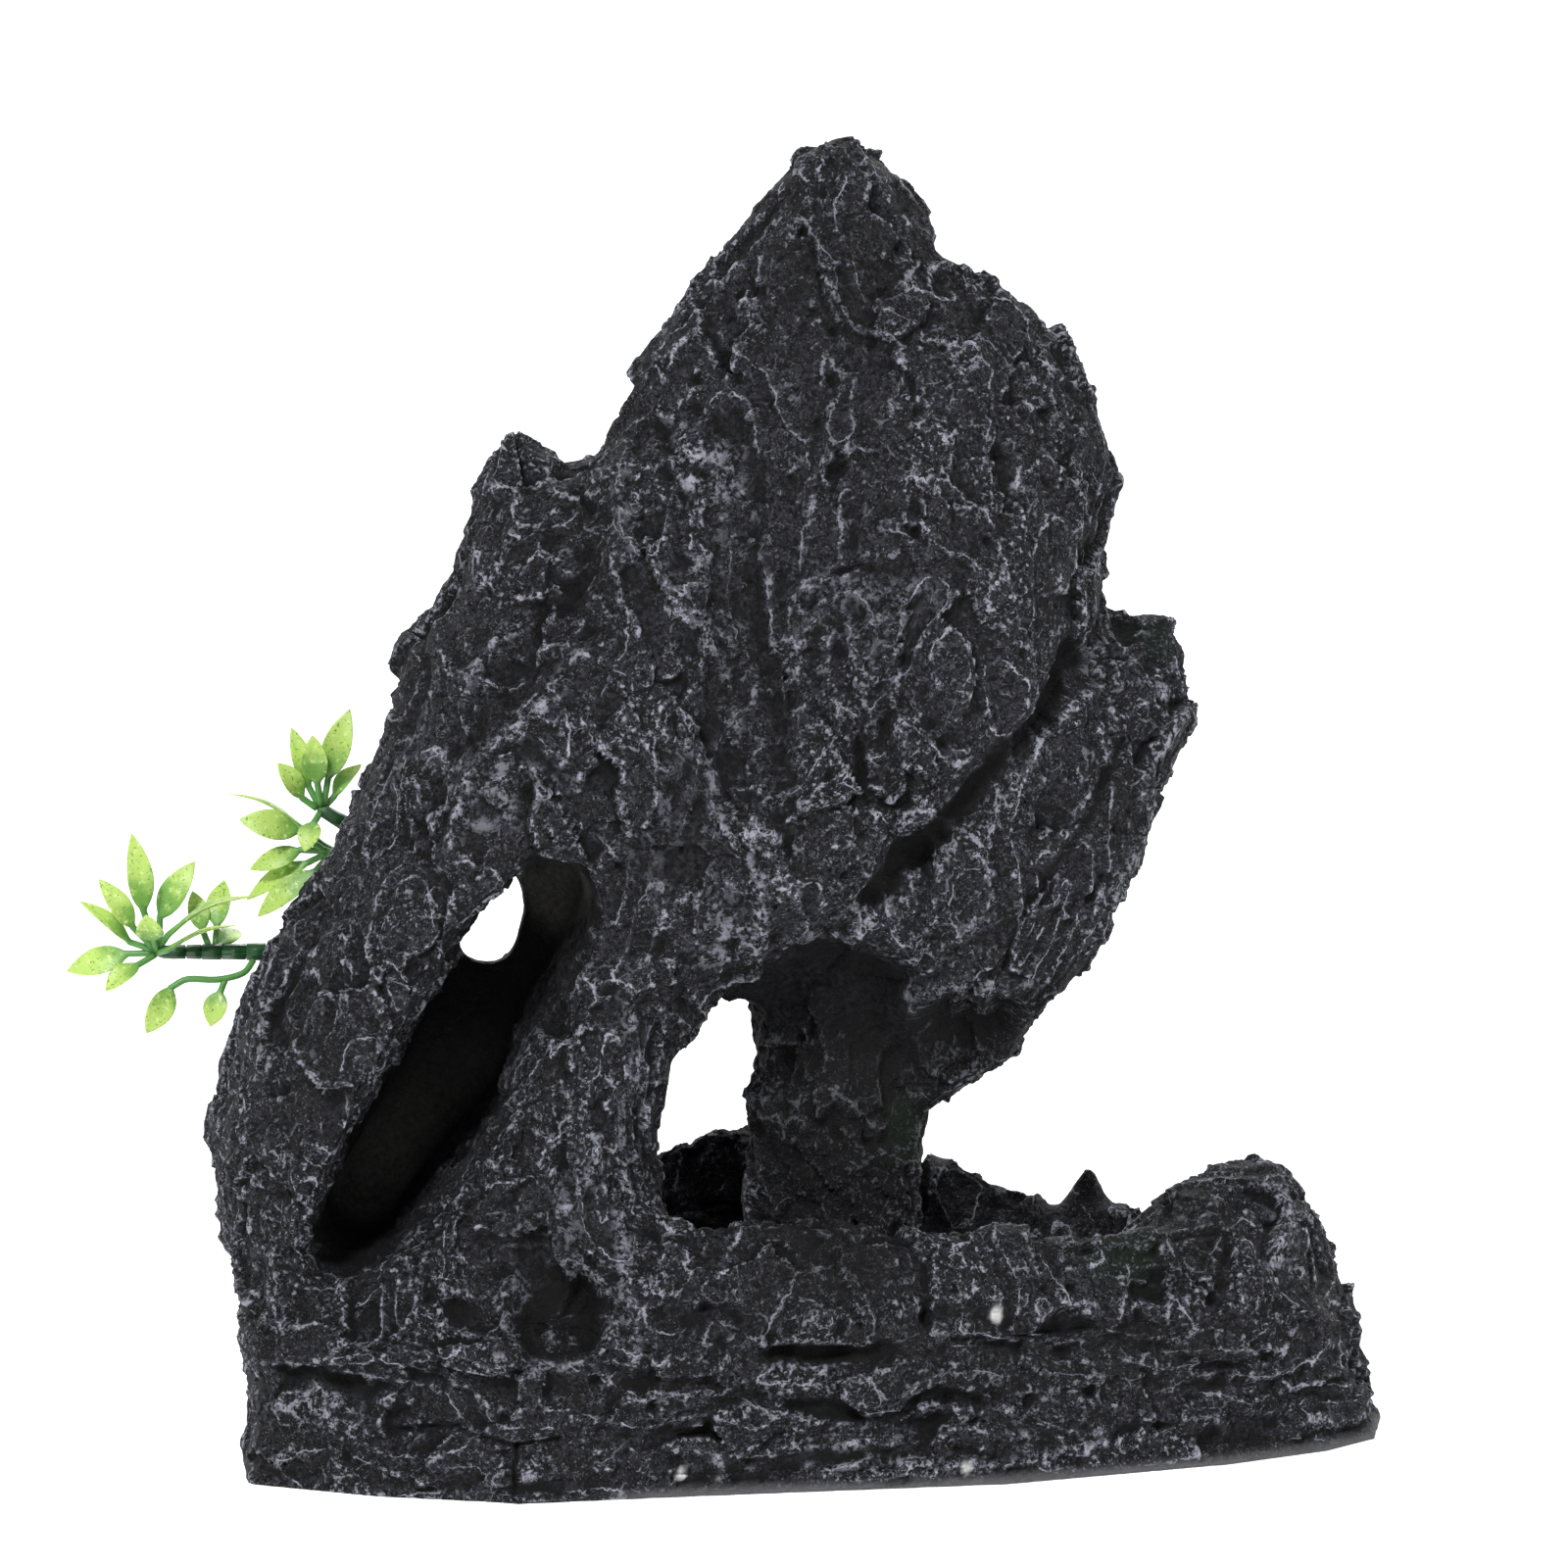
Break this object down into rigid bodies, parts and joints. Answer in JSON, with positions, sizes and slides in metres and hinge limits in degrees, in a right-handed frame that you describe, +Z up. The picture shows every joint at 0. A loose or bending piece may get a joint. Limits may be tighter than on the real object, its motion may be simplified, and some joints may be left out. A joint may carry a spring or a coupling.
{
  "type": "resin cave ornament",
  "caption": "Free-standing aquarium rock with a slanted cave, an arch, a basin and a sharp peak, with two plastic leaf sprigs fixed in the far side of its left flank.",
  "frame": {"origin": "on the underside of the footing plate, below the middle of the rock", "axes": "+Z up, +X to the right and -Y towards the viewer of the plain side; the sprigs lean out towards -X on the +Y side"},
  "size_m": [0.2069, 0.087, 0.2015],
  "materials": {
    "painted_resin": "matte charcoal paint over cast resin, dry-brushed pale grey on its ridges",
    "glue": "dull grey filler",
    "dark_stem": "soft moulded polyethylene, satin",
    "leaf": "soft moulded polyethylene, satin, speckled pale"
  },
  "bodies": {
    "rock": {"base_plate": "painted_resin", "base_corner": "painted_resin", "left_plinth": "painted_resin", "basin_floor": "painted_resin", "front_wall": "painted_resin", "rear_wall": "painted_resin", "rear_spike": "painted_resin", "right_knoll": "painted_resin", "pillar": "painted_resin", "cave_outer_wall": "painted_resin", "cave_inner_leg": "painted_resin", "buttress": "painted_resin", "left_spur": "painted_resin", "main_peak": "painted_resin", "right_crest": "painted_resin", "right_shoulder": "painted_resin", "lower_plug": "glue", "upper_plug": "glue", "lower_stem": "dark_stem", "upper_stem": "dark_stem"},
    "lower_whorl": {"lower_whorl": "leaf"},
    "lower_branch": {"lower_branch": "leaf"},
    "lower_back_spray": {"lower_back_spray": "leaf"},
    "upper_whorl": {"upper_whorl": "leaf"},
    "upper_left_spray": {"upper_left_spray": "leaf"}
  },
  "joints": [
    {"name": "lower_whorl_turn", "type": "hinge", "parent": "rock", "child": "lower_whorl", "pos_m": [-0.0965, 0.015, 0.0728], "axis": [-1, 0, 0], "range_deg": [-20, 20]},
    {"name": "lower_branch_turn", "type": "hinge", "parent": "rock", "child": "lower_branch", "pos_m": [-0.083, 0.015, 0.0728], "axis": [-1, 0, 0], "range_deg": [-15, 15]},
    {"name": "lower_back_turn", "type": "hinge", "parent": "rock", "child": "lower_back_spray", "pos_m": [-0.09, 0.015, 0.0728], "axis": [-1, 0, 0], "range_deg": [-15, 15]},
    {"name": "upper_whorl_turn", "type": "hinge", "parent": "rock", "child": "upper_whorl", "pos_m": [-0.07129, 0.02, 0.09368], "axis": [-0.8572, 0, 0.515], "range_deg": [-20, 20]},
    {"name": "upper_left_turn", "type": "hinge", "parent": "rock", "child": "upper_left_spray", "pos_m": [-0.06554, 0.02, 0.09023], "axis": [-0.8572, 0, 0.515], "range_deg": [-12, 12]}
  ]
}
